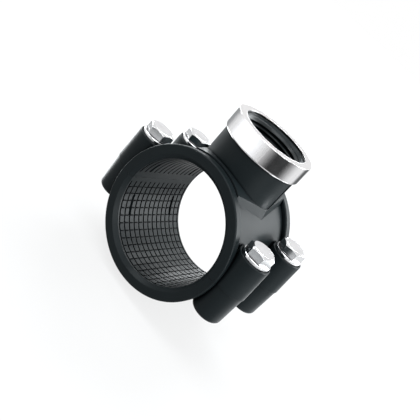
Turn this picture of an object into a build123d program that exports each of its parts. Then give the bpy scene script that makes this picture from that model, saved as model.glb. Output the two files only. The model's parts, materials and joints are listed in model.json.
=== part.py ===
from build123d import *
import math
import os

os.makedirs("parts", exist_ok=True)

# All lengths are millimetres. The pipe runs along Y, the branch points up Z,
# and the origin is on the pipe's axis, under the middle of the branch.

# Pipe and clamp body
pipe_diameter = 63.0
body_width = 59.8
wall = 4.5
flange_height = 2.4
flange_thickness = 5.0
flange_edge_round = 0.8
mouth_chamfer = 2.0
split_gap = 0.1

# Grip pattern of the pipe bore
row_pitch = 4.06
row_groove_width = 0.9
column_pitch_angle = 7.15
column_count = 23
column_groove_width = 0.6
groove_depth = 0.5
upper_smooth_band_angle = 7.5
lower_smooth_band_angle = 5.0

# Core slots beside the bolts, given as angles from the split plane
slot_width = 1.9
slot_depth = 4.0
slot_rows_from_middle = 4.5
upper_slot_start_angle = 8.0
upper_slot_end_angle = 21.0
lower_slot_start_angle = 20.0
lower_slot_end_angle = 40.0

# Branch tower with its female pipe thread, G 1
tower_radius = 21.8
tower_height = 24.0
tower_groove_width = 2.2
tower_groove_depth = 1.0
tower_groove_angle = 6.0
collar_ledge = 2.1
collar_height = 3.0
collar_side_angle = 12.0
collar_draft = 15.0
thread_major_radius = 16.62
thread_depth = 19.0
thread_lead_in = 1.3
thread_end_cone_height = 2.5
port_radius = 12.5

# Reinforcing ring of folded stainless steel
ring_thickness = 1.25
ring_depth = 9.6
ring_fit = 0.05
ring_corner_round = 1.1
ring_mouth_radius = 18.6

# Rubber seal round the outlet, in a seat on the inside
gasket_outer_radius = 19.5
gasket_width = 5.0
gasket_thickness = 2.3
gasket_clearance = 0.1
gasket_land_width = 2.5

# Bolts, washers and nuts, M8
bolt_offset_from_barrel = 5.1
bolt_inset_from_end = 11.9
bolt_radius = 3.95
bolt_length = 35.0
bolt_tip_chamfer = 0.8
bolt_hole_clearance = 0.3
hex_across_flats = 13.0
hex_face_radius = 5.9
hex_chamfer_angle = 30.0
head_height = 4.7
washer_radius = 8.0
washer_thickness = 1.7
washer_edge_chamfer = 0.2
washer_bore_clearance = 0.3
nut_height = 6.5
nut_bore_clearance = 0.05
nut_pocket_clearance = 0.1
nut_turn_angle = 30.0
bolt_end_past_nut = 0.5

# Bolt bosses
boss_top_height = 18.95
boss_top_radius = 9.1
boss_lip_radius = 9.65
boss_lower_radius = 9.3
boss_bottom_depth = 19.0
boss_bottom_radius = 8.6
boss_bottom_round = 2.0
boss_top_edge_round = 0.4

# Sizes that follow from the ones above
bore_radius = pipe_diameter / 2
barrel_radius = bore_radius + wall
flange_radius = barrel_radius + flange_height
half_width = body_width / 2
half_gap = split_gap / 2
collar_corner_x = tower_radius + collar_ledge
collar_corner_z = math.sqrt(barrel_radius**2 - collar_corner_x**2)
collar_end_y = half_width - flange_thickness / 2
collar_end_x = collar_corner_x - collar_end_y * math.tan(math.radians(collar_side_angle))
collar_top_radius = barrel_radius + collar_height
collar_top_at_tower = math.sqrt(collar_top_radius**2 - tower_radius**2)
tower_top_height = barrel_radius + tower_height
gasket_inner_radius = gasket_outer_radius - gasket_width
gasket_land_radius = gasket_outer_radius + gasket_land_width
row_count = int((body_width - 2 * mouth_chamfer - row_groove_width) / row_pitch) + 1
rows_length = (row_count - 1) * row_pitch + row_groove_width
slot_row_y = slot_rows_from_middle * row_pitch
bolt_x_distance = barrel_radius + bolt_offset_from_barrel
bolt_y_distance = half_width - bolt_inset_from_end
washer_top = boss_top_height + washer_thickness
bolt_end = washer_top - bolt_length
nut_bottom = bolt_end + bolt_end_past_nut
bolt_hole_radius = bolt_radius + bolt_hole_clearance
hex_half_width = hex_across_flats / 2
ring_bottom = tower_top_height - ring_depth
past_everything = 2 * tower_top_height

bolt_places = {
    "front_right": (bolt_x_distance, -bolt_y_distance),
    "rear_right": (bolt_x_distance, bolt_y_distance),
    "front_left": (-bolt_x_distance, -bolt_y_distance),
    "rear_left": (-bolt_x_distance, bolt_y_distance),
}

# How far each bolt head is turned from the position with a corner towards +X
head_turn_angles = {"front_right": 10.0, "rear_right": 14.0, "front_left": 19.0, "rear_left": 25.0}

UPPER = 1
LOWER = -1


def tilted_plane(side, angle):
    """The half section plane through the pipe axis, raised from the split by an angle towards one side."""
    return Plane.XY.rotated((0, -side * angle, 0))


def turn_axis(side):
    """The pipe axis, directed so that a turn goes from +X over the given side to -X."""
    return Axis((0, 0, 0), (0, -side, 0))


def add_body_half(side):
    """Solid half of the clamp: a barrel between two round flanges."""
    with BuildSketch(Plane.XY) as outline:
        with BuildLine():
            Polyline(
                (0, -half_width),
                (flange_radius, -half_width),
                (flange_radius, -half_width + flange_thickness),
                (barrel_radius, -half_width + flange_thickness),
                (barrel_radius, half_width - flange_thickness),
                (flange_radius, half_width - flange_thickness),
                (flange_radius, half_width),
                (0, half_width),
                close=True,
            )
        make_face()
        fillet(outline.vertices().group_by(Axis.X)[-1], flange_edge_round)
    revolve(outline.sketch, axis=turn_axis(side), revolution_arc=180)


def cut_pipe_bore():
    """The bore for the pipe with a lead-in chamfer at each mouth."""
    with BuildSketch(Plane.XY) as bore_section:
        with BuildLine():
            Polyline(
                (0, -half_width),
                (bore_radius + mouth_chamfer, -half_width),
                (bore_radius, -half_width + mouth_chamfer),
                (bore_radius, half_width - mouth_chamfer),
                (bore_radius + mouth_chamfer, half_width),
                (0, half_width),
                close=True,
            )
        make_face()
    revolve(bore_section.sketch, axis=Axis.Y, mode=Mode.SUBTRACT)


def cut_core_slots(side, start_angle, end_angle):
    """Narrow slots in the bore wall beside the bolts, on both sides of the pipe."""
    for first_angle in (start_angle, 180 - end_angle):
        with BuildSketch(tilted_plane(side, first_angle)) as slot_section:
            with Locations((bore_radius, -slot_row_y), (bore_radius, slot_row_y)):
                Rectangle(2 * slot_depth, slot_width)
        revolve(
            slot_section.sketch,
            axis=turn_axis(side),
            revolution_arc=end_angle - start_angle,
            mode=Mode.SUBTRACT,
        )


def cut_bolt_holes():
    """Clearance holes for the four bolts, right through."""
    with BuildSketch(Plane.XY) as holes:
        with Locations(*bolt_places.values()):
            Circle(bolt_hole_radius)
    extrude(holes.sketch, amount=past_everything, both=True, mode=Mode.SUBTRACT)


def add_hexagon(bolt_x, bolt_y, base_height, height, turn_angle):
    """Hexagonal prism for a bolt head or a nut, with its upper corners turned off."""
    with BuildSketch(Plane.XY.offset(base_height)) as hexagon:
        with Locations((bolt_x, bolt_y)):
            RegularPolygon(hex_half_width, 6, major_radius=False, rotation=turn_angle)
    extrude(hexagon.sketch, amount=height)
    with Locations((bolt_x, bolt_y, base_height)):
        Cone(
            hex_face_radius + height / math.tan(math.radians(hex_chamfer_angle)),
            hex_face_radius,
            height,
            align=(Align.CENTER, Align.CENTER, Align.MIN),
            mode=Mode.INTERSECT,
        )


# Rows of grooves round the upper half, cleared away round the outlet
with BuildPart() as upper_rows:
    with BuildSketch(tilted_plane(UPPER, upper_smooth_band_angle)):
        with Locations((bore_radius, 0)):
            with GridLocations(0, row_pitch, 1, row_count):
                Rectangle(2 * groove_depth, row_groove_width)
    revolve(axis=turn_axis(UPPER), revolution_arc=180 - 2 * upper_smooth_band_angle)
    with BuildSketch(Plane.XY):
        Circle(gasket_land_radius)
    extrude(amount=past_everything, mode=Mode.SUBTRACT)

# Low collar that carries the branch tower on the barrel, pointed at the sides and drafted
with BuildPart() as collar:
    with BuildSketch(Plane.XY.offset(collar_corner_z)):
        Polygon(
            (collar_corner_x, 0),
            (collar_end_x, collar_end_y),
            (-collar_end_x, collar_end_y),
            (-collar_corner_x, 0),
            (-collar_end_x, -collar_end_y),
            (collar_end_x, -collar_end_y),
            align=None,
        )
    extrude(amount=collar_top_radius - collar_corner_z, taper=collar_draft)
    with BuildSketch(Plane.XZ):
        Circle(collar_top_radius)
    extrude(amount=half_width, both=True, mode=Mode.INTERSECT)

# Seat of the seal, which follows the curve of the pipe
with BuildPart() as gasket_seat:
    with BuildSketch(Plane.XY):
        Circle(gasket_outer_radius)
        Circle(gasket_inner_radius, mode=Mode.SUBTRACT)
    extrude(amount=past_everything)
    with BuildSketch(Plane.XZ):
        Circle(bore_radius + gasket_thickness)
    extrude(amount=half_width, both=True, mode=Mode.INTERSECT)

# Upper half: bosses, half body, collar and tower, then everything that is cut out of them
with BuildPart() as upper_saddle:
    boss_height = boss_top_height - half_gap
    with BuildSketch(Plane.XY.offset(half_gap)):
        with Locations(*bolt_places.values()):
            Circle(boss_lip_radius)
    upper_draft = math.degrees(math.atan((boss_lip_radius - boss_top_radius) / boss_height))
    extrude(amount=boss_height, taper=upper_draft)
    fillet(upper_saddle.edges().group_by(Axis.Z)[-1], boss_top_edge_round)
    add_body_half(UPPER)
    add(collar.part)
    with BuildSketch(Plane.XY):
        Circle(tower_radius)
    extrude(amount=tower_top_height)
    with BuildSketch(Plane.XY.offset(collar_top_at_tower)):
        with PolarLocations(tower_radius, 2, tower_groove_angle):
            Rectangle(2 * tower_groove_depth, tower_groove_width)
    extrude(amount=ring_bottom - collar_top_at_tower, mode=Mode.SUBTRACT)
    split(bisect_by=Plane.XY.offset(half_gap), keep=Keep.TOP)
    cut_pipe_bore()
    with BuildSketch(Plane.XZ):
        thread_end = tower_top_height - thread_depth
        with BuildLine():
            Polyline(
                (0, 0),
                (port_radius, 0),
                (port_radius, thread_end - thread_end_cone_height),
                (thread_major_radius, thread_end),
                (thread_major_radius, tower_top_height - thread_lead_in),
                (thread_major_radius + thread_lead_in, tower_top_height),
                (0, tower_top_height),
                close=True,
            )
        make_face()
    revolve(axis=Axis.Z, mode=Mode.SUBTRACT)
    add(gasket_seat.part, mode=Mode.SUBTRACT)
    add(upper_rows.part, mode=Mode.SUBTRACT)
    cut_core_slots(UPPER, upper_slot_start_angle, upper_slot_end_angle)
    cut_bolt_holes()

upper_saddle.part.label = "upper_saddle"
export_step(upper_saddle.part, "parts/upper_saddle.step")

# Lower half: tapered bosses and half body, then the grip pattern, the holes and the nut chambers
with BuildPart() as lower_saddle:
    with BuildSketch(Plane.XY.offset(-half_gap)):
        with Locations(*bolt_places.values()):
            Circle(boss_lower_radius)
    lower_height = boss_bottom_depth - half_gap
    lower_draft = math.degrees(math.atan((boss_lower_radius - boss_bottom_radius) / lower_height))
    extrude(amount=-lower_height, taper=lower_draft)
    fillet(lower_saddle.edges().group_by(Axis.Z)[0], boss_bottom_round)
    add_body_half(LOWER)
    split(bisect_by=Plane.XY.offset(-half_gap), keep=Keep.BOTTOM)
    cut_pipe_bore()
    with BuildSketch(tilted_plane(LOWER, lower_smooth_band_angle)):
        with Locations((bore_radius, 0)):
            with GridLocations(0, row_pitch, 1, row_count):
                Rectangle(2 * groove_depth, row_groove_width)
    revolve(
        axis=turn_axis(LOWER),
        revolution_arc=180 - 2 * lower_smooth_band_angle,
        mode=Mode.SUBTRACT,
    )
    with BuildSketch(Plane.XZ):
        columns_angle = (column_count - 1) * column_pitch_angle
        with PolarLocations(bore_radius, column_count, 270 - columns_angle / 2, columns_angle, endpoint=True):
            Rectangle(2 * groove_depth, column_groove_width)
    extrude(amount=rows_length / 2, both=True, mode=Mode.SUBTRACT)
    cut_core_slots(LOWER, lower_slot_start_angle, lower_slot_end_angle)
    cut_bolt_holes()
    with BuildSketch(Plane.XY.offset(nut_bottom - nut_pocket_clearance)):
        with Locations(*bolt_places.values()):
            RegularPolygon(hex_half_width + nut_pocket_clearance, 6, major_radius=False, rotation=nut_turn_angle)
    extrude(amount=nut_height + 2 * nut_pocket_clearance, mode=Mode.SUBTRACT)

lower_saddle.part.label = "lower_saddle"
export_step(lower_saddle.part, "parts/lower_saddle.step")

# Steel cup pressed over the top of the tower
with BuildPart() as reinforcing_ring:
    with BuildSketch(Plane.XZ) as ring_section:
        ring_inner_radius = tower_radius + ring_fit
        ring_outer_radius = ring_inner_radius + ring_thickness
        ring_top = tower_top_height + ring_thickness
        with BuildLine():
            Polyline(
                (ring_inner_radius, ring_bottom),
                (ring_outer_radius, ring_bottom),
                (ring_outer_radius, ring_top),
                (ring_mouth_radius, ring_top),
                (ring_mouth_radius, tower_top_height),
                (ring_inner_radius, tower_top_height),
                close=True,
            )
        make_face()
        top_corners = ring_section.vertices().group_by(Axis.Z)[-1].sort_by(Axis.X)
        fillet(top_corners[-1], ring_corner_round)
        fillet(top_corners[0], ring_thickness / 3)
    revolve(axis=Axis.Z)

reinforcing_ring.part.label = "reinforcing_ring"
export_step(reinforcing_ring.part, "parts/reinforcing_ring.step")

# Rubber seal in its seat, flush with the bore
with BuildPart() as outlet_gasket:
    with BuildSketch(Plane.XY):
        Circle(gasket_outer_radius - gasket_clearance)
        Circle(gasket_inner_radius + gasket_clearance, mode=Mode.SUBTRACT)
    extrude(amount=past_everything)
    with BuildSketch(Plane.XZ):
        Circle(bore_radius + gasket_thickness - gasket_clearance)
    extrude(amount=half_width, both=True, mode=Mode.INTERSECT)
    with BuildSketch(Plane.XZ):
        Circle(bore_radius + gasket_clearance)
    extrude(amount=half_width, both=True, mode=Mode.SUBTRACT)

outlet_gasket.part.label = "outlet_gasket"
export_step(outlet_gasket.part, "parts/outlet_gasket.step")

# Bolts, washers and captive nuts at the four bosses
for place, (bolt_x, bolt_y) in bolt_places.items():
    with BuildPart() as bolt:
        add_hexagon(bolt_x, bolt_y, washer_top, head_height, head_turn_angles[place])
        with BuildSketch(Plane.XY.offset(washer_top)):
            with Locations((bolt_x, bolt_y)):
                Circle(bolt_radius)
        extrude(amount=-bolt_length)
        chamfer(bolt.edges().group_by(Axis.Z)[0], bolt_tip_chamfer)
    bolt.part.label = "bolt_" + place
    export_step(bolt.part, "parts/bolt_" + place + ".step")

    with BuildPart() as washer:
        with BuildSketch(Plane.XY.offset(boss_top_height)):
            with Locations((bolt_x, bolt_y)):
                Circle(washer_radius)
                Circle(bolt_radius + washer_bore_clearance, mode=Mode.SUBTRACT)
        extrude(amount=washer_thickness)
        chamfer(washer.faces().sort_by(Axis.Z)[-1].outer_wire().edges(), washer_edge_chamfer)
    washer.part.label = "washer_" + place
    export_step(washer.part, "parts/washer_" + place + ".step")

    with BuildPart() as nut:
        add_hexagon(bolt_x, bolt_y, nut_bottom, nut_height, nut_turn_angle)
        with BuildSketch(Plane.XY.offset(nut_bottom)):
            with Locations((bolt_x, bolt_y)):
                Circle(bolt_radius + nut_bore_clearance)
        extrude(amount=nut_height, mode=Mode.SUBTRACT)
    nut.part.label = "nut_" + place
    export_step(nut.part, "parts/nut_" + place + ".step")
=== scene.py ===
import json
import math

import bmesh
import bpy
from mathutils import Matrix, Vector


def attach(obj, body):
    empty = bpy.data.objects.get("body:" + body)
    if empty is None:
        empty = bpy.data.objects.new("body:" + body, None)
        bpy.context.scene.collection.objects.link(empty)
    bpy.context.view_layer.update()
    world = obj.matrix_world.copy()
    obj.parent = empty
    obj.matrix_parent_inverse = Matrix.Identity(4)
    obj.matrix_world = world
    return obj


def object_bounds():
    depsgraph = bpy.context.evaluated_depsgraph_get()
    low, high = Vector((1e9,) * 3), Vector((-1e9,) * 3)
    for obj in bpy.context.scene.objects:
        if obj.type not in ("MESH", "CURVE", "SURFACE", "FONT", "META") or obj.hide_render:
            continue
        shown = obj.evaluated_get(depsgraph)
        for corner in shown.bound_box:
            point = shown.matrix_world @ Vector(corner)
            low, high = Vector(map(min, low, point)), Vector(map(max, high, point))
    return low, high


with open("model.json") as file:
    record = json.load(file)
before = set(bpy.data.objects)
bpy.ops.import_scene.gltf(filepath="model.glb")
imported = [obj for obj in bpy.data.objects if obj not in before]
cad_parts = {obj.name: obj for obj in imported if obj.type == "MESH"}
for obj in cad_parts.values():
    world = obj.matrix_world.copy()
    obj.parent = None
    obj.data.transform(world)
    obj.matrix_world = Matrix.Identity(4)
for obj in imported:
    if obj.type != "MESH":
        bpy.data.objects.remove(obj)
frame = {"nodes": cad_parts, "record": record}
cad_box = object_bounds()

MM = 0.001
nodes = frame["nodes"]
collection = bpy.context.scene.collection
corner_names = ("front_right", "rear_right", "front_left", "rear_left")

# Sizes taken from the frame
branch_mount = next(m for m in frame["record"]["mounts"] if m["name"] == "branch_thread")
thread_major_radius = branch_mount["dims"]["r_mm"] * MM
thread_length = branch_mount["dims"]["length_mm"] * MM
thread_middle = branch_mount["pos_m"][2]
mouth_level = thread_middle + thread_length / 2

# The lower half moves down by this much when the saddle is opened, and the floor leaves it room
opening_travel = 5 * MM
floor_height = cad_box[0].z - opening_travel


# Shader helpers

def node_adder(tree):
    """A function that adds nodes to a tree and sets their sockets and settings by name."""
    def add(kind, **settings):
        node = tree.nodes.new(kind)
        for key, value in settings.items():
            if key in node.inputs:
                node.inputs[key].default_value = value
            else:
                setattr(node, key, value)
        return node

    return add


def new_material(name):
    """An empty node material with its output, and the functions that link and add its nodes."""
    material = bpy.data.materials.new(name)
    material.use_nodes = True
    tree = material.node_tree
    tree.nodes.clear()
    output = tree.nodes.new("ShaderNodeOutputMaterial")
    return material, tree.links.new, node_adder(tree), output


def noise(link, add, coordinates, scale, detail, roughness=0.5):
    texture = add("ShaderNodeTexNoise", Scale=scale, Detail=detail, Roughness=roughness)
    link(coordinates, texture.inputs["Vector"])
    return texture.outputs["Fac"]


def map_range(link, add, value, source, target, interpolation="LINEAR"):
    """Maps a value from a source range to a target range and keeps it inside the target."""
    node = add("ShaderNodeMapRange", clamp=True, interpolation_type=interpolation)
    node.inputs["From Min"].default_value = source[0]
    node.inputs["From Max"].default_value = source[1]
    node.inputs["To Min"].default_value = target[0]
    node.inputs["To Max"].default_value = target[1]
    link(value, node.inputs["Value"])
    return node.outputs["Result"]


def spread(link, add, noise_value, target):
    """Spreads the middle of a noise over a range of roughness."""
    return map_range(link, add, noise_value, (0.3, 0.7), target)


def calculate(link, add, operation, *values):
    """A math node on values that are numbers or outputs of other nodes."""
    node = add("ShaderNodeMath", operation=operation)
    for socket, value in zip(node.inputs, values):
        if isinstance(value, float):
            socket.default_value = value
        else:
            link(value, socket)
    return node.outputs[0]


def blend_colours(link, add, factor, first, second):
    """Mixes two colours, each given as numbers or as the output of another node."""
    factor_socket, first_socket, second_socket, result_socket = 0, 6, 7, 2
    node = add("ShaderNodeMix", data_type="RGBA")
    link(factor, node.inputs[factor_socket])
    for place, colour in ((first_socket, first), (second_socket, second)):
        if isinstance(colour, tuple):
            node.inputs[place].default_value = (*colour, 1)
        else:
            link(colour, node.inputs[place])
    return node.outputs[result_socket]


def blend_shaders(link, add, factor, first, second):
    node = add("ShaderNodeMixShader")
    link(factor, node.inputs[0])
    link(first.outputs[0], node.inputs[1])
    link(second.outputs[0], node.inputs[2])
    return node.outputs[0]


def rounded_bump(link, add, edge_radius, *bumps):
    """A normal that rounds sharp edges, with bumps given as height, depth and strength."""
    normal = add("ShaderNodeBevel", samples=6, Radius=edge_radius).outputs["Normal"]
    for height, depth, strength in bumps:
        bump = add("ShaderNodeBump", Strength=strength, Distance=depth)
        link(height, bump.inputs["Height"])
        link(normal, bump.inputs["Normal"])
        normal = bump.outputs["Normal"]
    return normal


def openness(link, add, reach, closed, open_level):
    """A value from 0 in crevices narrower than the reach to 1 on free surfaces; the materials paint
    shade where it is low.
    """
    occlusion = add("ShaderNodeAmbientOcclusion", samples=8, Distance=reach)
    return map_range(link, add, occlusion.outputs["AO"], (closed, open_level), (0, 1))


# Materials

def moulded_plastic(name, dark, light, roughness, gloss_level, grain_strength):
    """Black moulded polypropylene: fine grain, faint flow marks, a soft satin gloss and painted shade
    in its crevices.
    """
    material, link, add, output = new_material(name)
    place = add("ShaderNodeTexCoord").outputs["Object"]
    flow = noise(link, add, place, scale=60, detail=4)
    grain = noise(link, add, place, scale=1800, detail=2)
    surface = add("ShaderNodeBsdfPrincipled", Metallic=0.0, IOR=1.5)
    surface.inputs["Specular IOR Level"].default_value = gloss_level
    link(blend_colours(link, add, flow, dark, light), surface.inputs["Base Color"])
    link(spread(link, add, flow, roughness), surface.inputs["Roughness"])
    normal = rounded_bump(
        link, add, 0.35 * MM,
        (flow, 0.3 * MM, 0.10),
        (grain, 0.05 * MM, grain_strength),
    )
    link(normal, surface.inputs["Normal"])
    # Painted shade: a near-black matt surface replaces the plastic in crevices, slots and corners,
    # darkening them where shade falls
    shade = add("ShaderNodeBsdfDiffuse", Color=(0.002, 0.0025, 0.003, 1))
    free = openness(link, add, reach=1.6 * MM, closed=0.5, open_level=0.92)
    link(blend_shaders(link, add, free, shade, surface), output.inputs["Surface"])
    return material


def bright_metal(name, dark, light, roughness, scratch_strength, stretch=(3, 1, 3)):
    """Polished or plated steel with faint marks from rolling and handling, and painted shade in its
    corners and crevices.
    """
    material, link, add, output = new_material(name)
    place = add("ShaderNodeTexCoord").outputs["Object"]
    stretched = add("ShaderNodeMapping", Scale=stretch)
    link(place, stretched.inputs["Vector"])
    patches = noise(link, add, place, scale=220, detail=3)
    scratches = noise(link, add, stretched.outputs["Vector"], scale=900, detail=4, roughness=0.65)
    surface = add("ShaderNodeBsdfPrincipled", Metallic=1.0)
    # Painted shade: the colour turns near-black where the surface sits in a corner or crevice, such as
    # the gap under a bolt head
    painted_crevice_shade = (0.03, 0.03, 0.03)
    free = openness(link, add, reach=1.4 * MM, closed=0.45, open_level=0.85)
    clean = blend_colours(link, add, patches, dark, light)
    link(blend_colours(link, add, free, painted_crevice_shade, clean), surface.inputs["Base Color"])
    link(spread(link, add, scratches, roughness), surface.inputs["Roughness"])
    normal = rounded_bump(link, add, 0.2 * MM, (scratches, 0.02 * MM, scratch_strength))
    link(normal, surface.inputs["Normal"])
    link(surface.outputs["BSDF"], output.inputs["Surface"])
    return material


def seal_rubber(name):
    """Matt black rubber with a fine grain."""
    material, link, add, output = new_material(name)
    place = add("ShaderNodeTexCoord").outputs["Object"]
    grain = noise(link, add, place, scale=1200, detail=3)
    surface = add("ShaderNodeBsdfPrincipled", IOR=1.45)
    colour = blend_colours(link, add, grain, (0.012, 0.012, 0.012), (0.03, 0.03, 0.03))
    link(colour, surface.inputs["Base Color"])
    link(spread(link, add, grain, (0.65, 0.85)), surface.inputs["Roughness"])
    link(rounded_bump(link, add, 0.2 * MM, (grain, 0.05 * MM, 0.2)), surface.inputs["Normal"])
    link(surface.outputs["BSDF"], output.inputs["Surface"])
    return material


body_plastic = moulded_plastic(
    "body_plastic",
    dark=(0.0053, 0.0077, 0.0088),
    light=(0.0085, 0.0120, 0.0133),
    roughness=(0.34, 0.42),
    gloss_level=0.10,
    grain_strength=0.12,
)
thread_plastic = moulded_plastic(
    "thread_plastic",
    dark=(0.0053, 0.0075, 0.0083),
    light=(0.0087, 0.0115, 0.0125),
    roughness=(0.25, 0.32),
    gloss_level=0.2,
    grain_strength=0.06,
)
ring_steel = bright_metal(
    "ring_steel",
    dark=(0.70, 0.69, 0.695),
    light=(0.80, 0.79, 0.795),
    roughness=(0.05, 0.12),
    scratch_strength=0.10,
    stretch=(1, 1, 14),
)
bolt_steel = bright_metal(
    "bolt_steel",
    dark=(0.64, 0.64, 0.65),
    light=(0.78, 0.78, 0.79),
    roughness=(0.08, 0.16),
    scratch_strength=0.12,
)
washer_steel = bright_metal(
    "washer_steel",
    dark=(0.68, 0.68, 0.69),
    light=(0.80, 0.80, 0.81),
    roughness=(0.10, 0.18),
    scratch_strength=0.12,
)
nut_steel = bright_metal(
    "nut_steel",
    dark=(0.68, 0.68, 0.70),
    light=(0.80, 0.80, 0.81),
    roughness=(0.20, 0.35),
    scratch_strength=0.15,
)
gasket_rubber = seal_rubber("gasket_rubber")


def dress(node, material):
    for material_slot in nodes[node].material_slots:
        material_slot.material = material


dress("upper_saddle", body_plastic)
dress("lower_saddle", body_plastic)
dress("reinforcing_ring", ring_steel)
dress("outlet_gasket", gasket_rubber)
for corner in corner_names:
    dress("bolt_" + corner, bolt_steel)
    dress("washer_" + corner, washer_steel)
    dress("nut_" + corner, nut_steel)


# Thread inside the mouth of the branch

pipe_thread_pitch = 2.309 * MM
pipe_thread_depth = 1.479 * MM


def ridge_section(centre, fade):
    """Radius and level of the ridge's section at one angle, from its hidden back round its face.

    The section is as high and wide as fade says. The cone of the mouth cuts it, and what lies above
    the mouth is buried in the wall.
    """
    burial = 0.1 * MM
    backing = 0.15 * MM
    depth = pipe_thread_depth * fade
    width = pipe_thread_pitch * (0.96 * fade + 0.02)
    half_face = ((0.50, 0.0), (0.40, 0.10), (0.14, 0.88), (0.06, 1.0))
    face = [(-offset, height) for offset, height in half_face] + list(half_face[::-1])
    section = []
    for offset, height in face:
        level = centre + offset * width
        cone_radius = thread_major_radius + (level - mouth_level)
        if level > mouth_level:
            cone_radius += burial
        section.append((max(thread_major_radius - depth * height, cone_radius), level))
    upper_radius, upper_level = section[-1]
    behind = max(thread_major_radius, upper_radius) + backing
    return [(behind, section[0][1])] + section + [(behind, upper_level)]


def helical_thread(name, start, length, end_angle):
    """A closed helical ridge along Z that fades in at its lower end."""
    steps_per_turn = 96
    fade_turns = 0.6
    turns = length / pipe_thread_pitch
    steps = int(turns * steps_per_turn)
    mesh = bmesh.new()
    rows = []
    for i in range(steps + 1):
        along = i / steps
        angle = end_angle - 2 * math.pi * turns * (1 - along)
        fade = min(1, along * turns / fade_turns)
        rows.append([
            mesh.verts.new((radius * math.cos(angle), radius * math.sin(angle), level))
            for radius, level in ridge_section(start + length * along, fade)
        ])
    count = len(rows[0])
    for before, after in zip(rows, rows[1:]):
        for k in range(count):
            n = (k + 1) % count
            mesh.faces.new((before[k], before[n], after[n], after[k]))
    mesh.faces.new(rows[0])
    mesh.faces.new(rows[-1][::-1])
    bmesh.ops.recalc_face_normals(mesh, faces=mesh.faces)
    data = bpy.data.meshes.new(name)
    mesh.to_mesh(data)
    mesh.free()
    for polygon in data.polygons:
        polygon.use_smooth = True
    thread = bpy.data.objects.new(name, data)
    collection.objects.link(thread)
    return thread


plain_foot = 0.6 * MM
hidden_side = math.radians(-68)
branch_ridges = helical_thread(
    "branch_ridges",
    start=thread_middle - thread_length / 2 + plain_foot,
    length=thread_length - plain_foot,
    end_angle=hidden_side,
)
branch_ridges.data.materials.append(thread_plastic)
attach(branch_ridges, "upper_half")


# Floor and surroundings

def mirror_or_glass_rays(link, add, rays):
    return calculate(
        link, add, "MAXIMUM", rays.outputs["Is Glossy Ray"], rays.outputs["Is Transmission Ray"]
    )


def build_floor():
    """A pale floor that keeps the object's shadow and turns white with distance from the object."""
    size = 6.0
    below_cards = 0.2 * MM
    bpy.ops.mesh.primitive_plane_add(size=size, location=(0, 0, floor_height - below_cards))
    floor = bpy.context.object
    floor.name = "studio_floor"
    material, link, add, output = new_material("studio_floor")
    matt = add("ShaderNodeBsdfDiffuse", Color=(0.12, 0.12, 0.12, 1))
    distance = add("ShaderNodeVectorMath", operation="LENGTH")
    link(add("ShaderNodeTexCoord").outputs["Object"], distance.inputs[0])
    camera_white = map_range(link, add, distance.outputs["Value"], (0.3, 1.0), (0.76, 1.0))
    mirror_white = 0.68
    rays = add("ShaderNodeLightPath")
    mirrored = calculate(
        link, add, "MULTIPLY", mirror_or_glass_rays(link, add, rays), mirror_white
    )
    white = calculate(
        link, add, "MULTIPLY_ADD", rays.outputs["Is Camera Ray"], camera_white, mirrored
    )
    glow = add("ShaderNodeEmission", Color=(1, 1, 1, 1))
    link(white, glow.inputs["Strength"])
    surface = add("ShaderNodeAddShader")
    link(matt.outputs[0], surface.inputs[0])
    link(glow.outputs[0], surface.inputs[1])
    link(surface.outputs[0], output.inputs["Surface"])
    floor.data.materials.append(material)


def build_world():
    """White to the camera and to mirror and glass rays, and an even soft light for the rest."""
    world = bpy.data.worlds.new("studio")
    bpy.context.scene.world = world
    world.use_nodes = True
    tree = world.node_tree
    tree.nodes.clear()
    link, add = tree.links.new, node_adder(tree)
    rays = add("ShaderNodeLightPath")
    seen = calculate(
        link, add, "MAXIMUM", rays.outputs["Is Camera Ray"], mirror_or_glass_rays(link, add, rays)
    )
    background = add("ShaderNodeBackground", Color=(1, 1, 1, 1))
    link(map_range(link, add, seen, (0, 1), (0.24, 1.0)), background.inputs["Strength"])
    link(background.outputs[0], add("ShaderNodeOutputWorld").inputs["Surface"])


def panel_lamp(name, place, away, width, height, radiance):
    """A rectangular lamp that shines against the direction away. A radiance of 1 is white."""
    lamp = bpy.data.lights.new(name, "AREA")
    lamp.shape = "RECTANGLE"
    lamp.size = width
    lamp.size_y = height
    lamp.color = (0.94, 0.98, 1.0)
    lamp.energy = radiance * math.pi * width * height
    holder = bpy.data.objects.new(name, lamp)
    collection.objects.link(holder)
    holder.location = place
    holder.rotation_mode = "QUATERNION"
    holder.rotation_quaternion = away.to_track_quat("Z", "Y")
    holder.visible_camera = False


def softbox(name, azimuth, elevation, radiance, width=0.46, height=0.32):
    """A large lamp that faces the origin."""
    distance = 0.9
    turn, rise = math.radians(azimuth), math.radians(elevation)
    level_part = math.cos(rise)
    away = Vector((level_part * math.cos(turn), level_part * math.sin(turn), math.sin(rise)))
    panel_lamp(name, distance * away, away, width, height, radiance)


def floor_lamp(name, azimuth, distance, size, radiance):
    """A small lamp that lies on the floor beside the object and shines up."""
    turn = math.radians(azimuth)
    place = Vector((distance * math.cos(turn), distance * math.sin(turn), floor_height))
    panel_lamp(name, place, Vector((0, 0, -1)), size, size, radiance)


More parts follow.
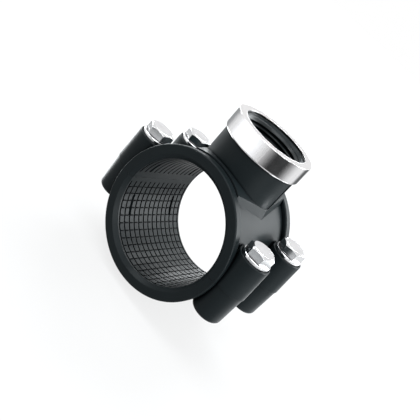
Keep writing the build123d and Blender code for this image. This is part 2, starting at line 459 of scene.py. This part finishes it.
def floor_card(name, direction, spread_angle, near, far, shade):
    """A soft-edged grey card on the floor, which only shows in what mirrors it.

    It is a sector of a ring round the object, from a near to a far distance, centred on a direction.
    """
    steps = 24
    count = steps + 1
    start = math.radians(direction - spread_angle / 2)
    turn = math.radians(spread_angle) / steps
    corners = []
    for reach in (near, far):
        for i in range(count):
            angle = start + i * turn
            corners.append((reach * math.cos(angle), reach * math.sin(angle), 0))
    faces = [(i, i + count, i + count + 1, i + 1) for i in range(steps)]
    data = bpy.data.meshes.new(name)
    data.from_pydata(corners, [], faces)
    across = data.attributes.new("across", "FLOAT", "POINT")
    across.data.foreach_set("value", [abs(2 * i / steps - 1) for i in range(count)] * 2)
    card = bpy.data.objects.new(name, data)
    collection.objects.link(card)
    card.location.z = floor_height
    material, link, add, output = new_material(name)
    off_middle = add("ShaderNodeAttribute", attribute_name="across").outputs["Fac"]
    cover = map_range(link, add, off_middle, (1.0, 0.2), (0, 1), "SMOOTHSTEP")
    matt = add("ShaderNodeBsdfDiffuse", Color=(shade, shade, shade, 1))
    clear = add("ShaderNodeBsdfTransparent")
    link(blend_shaders(link, add, cover, clear, matt), output.inputs["Surface"])
    data.materials.append(material)
    card.visible_camera = False
    card.visible_diffuse = False
    card.visible_shadow = False


build_floor()
build_world()
softbox("front_right_low_softbox", azimuth=-15, elevation=4, radiance=14)
softbox("front_right_softbox", azimuth=-45, elevation=24, radiance=5.8)
softbox("right_softbox", azimuth=45, elevation=24, radiance=13.5)
softbox("right_low_softbox", azimuth=45, elevation=4, radiance=9)
softbox("front_high_softbox", azimuth=-68, elevation=48, radiance=3)
softbox("top_softbox", azimuth=-68, elevation=80, radiance=5.2, height=0.46)
softbox("rear_softbox", azimuth=75, elevation=24, radiance=4.1)
softbox("rear_low_softbox", azimuth=108, elevation=0, radiance=9.8, width=0.50, height=0.22)
softbox("rear_high_softbox", azimuth=112, elevation=48, radiance=16.5)
softbox("left_low_softbox", azimuth=160, elevation=4, radiance=18, width=0.60)
softbox("left_high_softbox", azimuth=202, elevation=48, radiance=9.8)
floor_lamp("right_floor_lamp", azimuth=24, distance=0.145, size=0.15, radiance=1.4)
floor_lamp("left_floor_lamp", azimuth=160, distance=0.145, size=0.12, radiance=4)

# Cards that the steel and the plastic walls mirror
floor_card("dark_card", -21, 118, near=0.29, far=0.60, shade=0.013)
floor_card("grey_card_right", 73, 46, near=0.20, far=0.60, shade=0.04)
floor_card("grey_card_left", 142, 84, near=0.20, far=0.60, shade=0.13)
floor_card("white_card_front", -120, 120, near=0.29, far=0.60, shade=0.80)
floor_card("dark_card_front", -82, 110, near=0.21, far=0.29, shade=0.013)
floor_card("near_card_front", -77, 60, near=0.10, far=0.21, shade=0.27)
floor_card("near_card_right", 16, 60, near=0.12, far=0.20, shade=0.20)


# Camera, matched to the circles and edges of the photograph

def build_camera():
    azimuth, elevation, roll = (math.radians(a) for a in (22.25, 21.90, 42.18))
    eye = Vector((124.10, -303.34, 140.80)) * MM
    data = bpy.data.cameras.new("camera")
    data.sensor_width = 36
    data.lens = 58.73
    camera = bpy.data.objects.new("camera", data)
    collection.objects.link(camera)
    back = Vector((
        math.sin(azimuth) * math.cos(elevation),
        -math.cos(azimuth) * math.cos(elevation),
        math.sin(elevation),
    ))
    level_right = Vector((math.cos(azimuth), math.sin(azimuth), 0))
    level_up = back.cross(level_right)
    right = math.cos(roll) * level_right + math.sin(roll) * level_up
    up = back.cross(right)
    turn = Matrix((right, up, back)).transposed().to_4x4()
    camera.matrix_world = Matrix.Translation(eye) @ turn
    bpy.context.scene.camera = camera


build_camera()
bpy.context.scene.view_settings.view_transform = "Standard"
